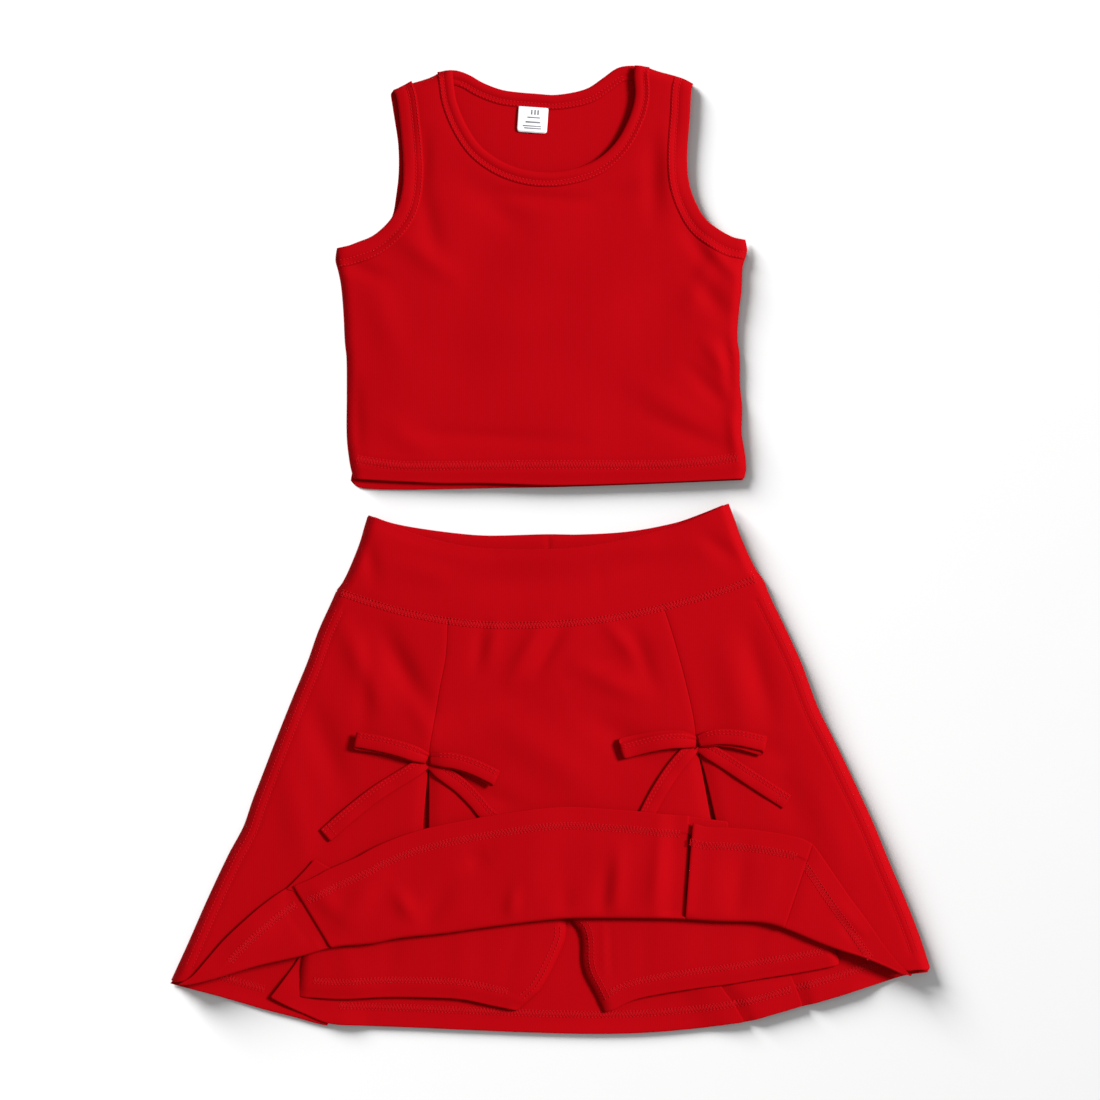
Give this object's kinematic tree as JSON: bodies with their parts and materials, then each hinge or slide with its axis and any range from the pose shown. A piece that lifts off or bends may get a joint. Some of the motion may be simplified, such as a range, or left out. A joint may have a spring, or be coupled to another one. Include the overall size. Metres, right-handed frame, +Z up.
{
  "type": "cheer uniform",
  "caption": "Flat-laid red knit cheer set: bound sleeveless crop top and a wide-waist skort with bow-trimmed pleats, front hem turned up over inner shorts.",
  "frame": {"origin": "on the surface the set lies on, under the middle of its bounding box", "axes": "+X to the viewer's right across the garments, +Y from the skirt's hem towards the neckline of the top, +Z up out of the surface"},
  "size_m": [0.548, 0.6961, 0.016],
  "materials": {
    "knit": "matt brushed polyester-elastane knit with a soft bloom",
    "thread": "textured polyester sewing thread",
    "label": "white woven satin ribbon, folded",
    "elastic": "braided elastic"
  },
  "bodies": {
    "skort": {"waistband_front": "knit", "waistband_front_lining": "knit", "waistband_back": "knit", "waistband_back_lining": "knit", "waist_elastic_front": "elastic", "waist_elastic_back": "elastic", "waistband_left_fold": "knit", "waistband_right_fold": "knit", "skirt_left_side_seam": "knit", "skirt_right_side_seam": "knit", "skirt_back": "knit", "skirt_front_left": "knit", "skirt_front_centre": "knit", "skirt_front_right": "knit", "pleat_underlay_left": "knit", "pleat_underlay_right": "knit", "waist_seam_stitching": "thread", "shorts_left_front": "knit", "shorts_left_back": "knit", "shorts_left_inseam": "knit", "shorts_left_side": "knit", "shorts_left_hem_stitching": "thread", "shorts_right_front": "knit", "shorts_right_back": "knit", "shorts_right_inseam": "knit", "shorts_right_side": "knit", "shorts_right_hem_stitching": "thread", "left_bow_tack": "thread", "right_bow_tack": "thread"},
    "top": {"top_front": "knit", "top_back": "knit", "neck_binding_front": "knit", "neck_binding_back": "knit", "neck_stitching": "thread", "left_armhole_binding_front": "knit", "left_armhole_binding_back": "knit", "right_armhole_binding_front": "knit", "right_armhole_binding_back": "knit", "top_left_side_seam": "knit", "top_right_side_seam": "knit", "top_left_shoulder_seam": "knit", "top_right_shoulder_seam": "knit", "top_hem_stitching": "thread"},
    "size_label": {"size_label": "label"},
    "turned_hem_left": {"turned_hem_left": "knit"},
    "turned_hem_centre": {"turned_hem_centre": "knit"},
    "turned_hem_right": {"turned_hem_right": "knit"},
    "turned_hem_corner": {"turned_hem_corner": "knit"},
    "left_bow_left_loop": {"left_bow_left_loop": "knit"},
    "left_bow_right_loop": {"left_bow_right_loop": "knit"},
    "right_bow_left_loop": {"right_bow_left_loop": "knit"},
    "right_bow_right_loop": {"right_bow_right_loop": "knit"},
    "left_bow_left_tail": {"left_bow_left_tail": "knit"},
    "left_bow_right_tail": {"left_bow_right_tail": "knit"},
    "right_bow_left_tail": {"right_bow_left_tail": "knit"},
    "right_bow_right_tail": {"right_bow_right_tail": "knit"}
  },
  "joints": [
    {"name": "top_lift", "type": "slide", "parent": "skort", "child": "top", "axis": [0, 0, 1], "range_m": [0, 0.25]},
    {"name": "label_flip", "type": "hinge", "parent": "top", "child": "size_label", "pos_m": [-0.012, 0.317, 0.0025], "axis": [-1, 0, 0], "range_deg": [0, 150]},
    {"name": "hem_turn_left", "type": "hinge", "parent": "skort", "child": "turned_hem_left", "pos_m": [-0.20591, -0.29702, 0.0122], "axis": [0.9703, 0.2419, 0], "range_deg": [0, 180]},
    {"name": "hem_turn_centre", "type": "hinge", "parent": "skort", "child": "turned_hem_centre", "pos_m": [-0.02644, -0.27221, 0.0122], "axis": [0.9962, 0.0875, 0], "range_deg": [0, 180]},
    {"name": "hem_turn_right", "type": "hinge", "parent": "skort", "child": "turned_hem_right", "pos_m": [0.12946, -0.26426, 0.0122], "axis": [0.996, -0.0891, 0], "range_deg": [0, 180]},
    {"name": "hem_turn_corner", "type": "hinge", "parent": "skort", "child": "turned_hem_corner", "pos_m": [0.20701, -0.28603, 0.0122], "axis": [0.9225, -0.386, 0], "range_deg": [0, 180]},
    {"name": "left_bow_left_loop_lift", "type": "hinge", "parent": "skort", "child": "left_bow_left_loop", "pos_m": [-0.087, -0.15003, 0.0146], "axis": [0.1736, 0.9848, 0], "range_deg": [0, 65]},
    {"name": "left_bow_right_loop_lift", "type": "hinge", "parent": "skort", "child": "left_bow_right_loop", "pos_m": [-0.087, -0.15003, 0.0146], "axis": [-0.2419, -0.9703, 0], "range_deg": [0, 65]},
    {"name": "right_bow_left_loop_lift", "type": "hinge", "parent": "skort", "child": "right_bow_left_loop", "pos_m": [0.105, -0.14107, 0.0146], "axis": [-0.0698, 0.9976, 0], "range_deg": [0, 65]},
    {"name": "right_bow_right_loop_lift", "type": "hinge", "parent": "skort", "child": "right_bow_right_loop", "pos_m": [0.105, -0.14107, 0.0146], "axis": [0.0349, -0.9994, 0], "range_deg": [0, 65]},
    {"name": "left_bow_left_tail_swing", "type": "hinge", "parent": "skort", "child": "left_bow_left_tail", "pos_m": [-0.087, -0.15003, 0.0122], "axis": [0, 0, 1], "range_deg": [-10, 10]},
    {"name": "left_bow_right_tail_swing", "type": "hinge", "parent": "skort", "child": "left_bow_right_tail", "pos_m": [-0.087, -0.15003, 0.0122], "axis": [0, 0, 1], "range_deg": [-10, 10]},
    {"name": "right_bow_left_tail_swing", "type": "hinge", "parent": "skort", "child": "right_bow_left_tail", "pos_m": [0.105, -0.14107, 0.0122], "axis": [0, 0, 1], "range_deg": [-10, 10]},
    {"name": "right_bow_right_tail_swing", "type": "hinge", "parent": "skort", "child": "right_bow_right_tail", "pos_m": [0.105, -0.14107, 0.0122], "axis": [0, 0, 1], "range_deg": [-10, 10]}
  ],
  "couplings": [
    {"joint": "hem_turn_left", "follows": "hem_turn_centre", "ratio": 1},
    {"joint": "hem_turn_right", "follows": "hem_turn_centre", "ratio": 1},
    {"joint": "hem_turn_corner", "follows": "hem_turn_centre", "ratio": 1}
  ]
}
